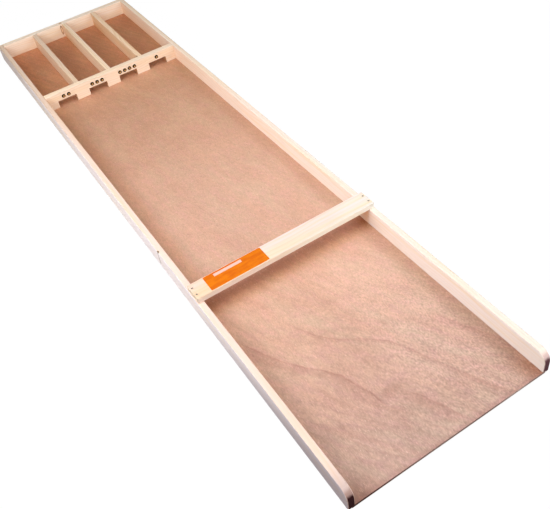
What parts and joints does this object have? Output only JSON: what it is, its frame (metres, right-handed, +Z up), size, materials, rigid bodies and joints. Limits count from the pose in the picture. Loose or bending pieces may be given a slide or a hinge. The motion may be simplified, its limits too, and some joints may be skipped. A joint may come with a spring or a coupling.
{
  "type": "dutch shuffleboard",
  "caption": "Long shallow wooden tray on a plywood sheet, open at the player's end, with a crossbar, a beam of scoring gates and compartments behind it.",
  "frame": {"origin": "on the underside, under the middle of the board", "axes": "+X across the board to the player's right, +Y from the open player's end to the back wall, +Z up"},
  "size_m": [0.28, 1.19, 0.0412],
  "materials": {
    "rail_pine": "planed pale pine, sanded, unvarnished, dark end grain at the front",
    "cross_pine": "planed pale pine with small knots, sanded",
    "crossbar_pine": "planed pale pine lath, sanded",
    "floor_plywood": "reddish tropical plywood, open pores along the board, smooth satin",
    "sticker_paper": "plain orange gloss paper sticker with no print",
    "score_brass": "domed brass heads, polished on top and dark at the rim",
    "nail_steel": "dull flat steel nail heads"
  },
  "bodies": {
    "root": {"floor_sheet": "floor_plywood", "left_rail": "rail_pine", "right_rail": "rail_pine", "back_wall": "cross_pine", "gate_beam": "cross_pine", "left_divider": "cross_pine", "middle_divider": "cross_pine", "right_divider": "cross_pine", "crossbar": "crossbar_pine", "sticker": "sticker_paper", "score_nails_two": "score_brass", "score_nails_three": "score_brass", "score_nails_four": "score_brass", "score_nail_one": "score_brass", "crossbar_nails_left": "nail_steel", "crossbar_nails_right": "nail_steel", "beam_nails_left": "nail_steel", "beam_nails_right": "nail_steel", "back_wall_nails_left": "nail_steel", "back_wall_nails_right": "nail_steel", "divider_nails": "nail_steel", "floor_brads_left": "nail_steel", "floor_brads_right": "nail_steel", "floor_brads_beam": "nail_steel", "floor_brads_dividers": "nail_steel", "floor_brads_back": "nail_steel"}
  },
  "joints": []
}
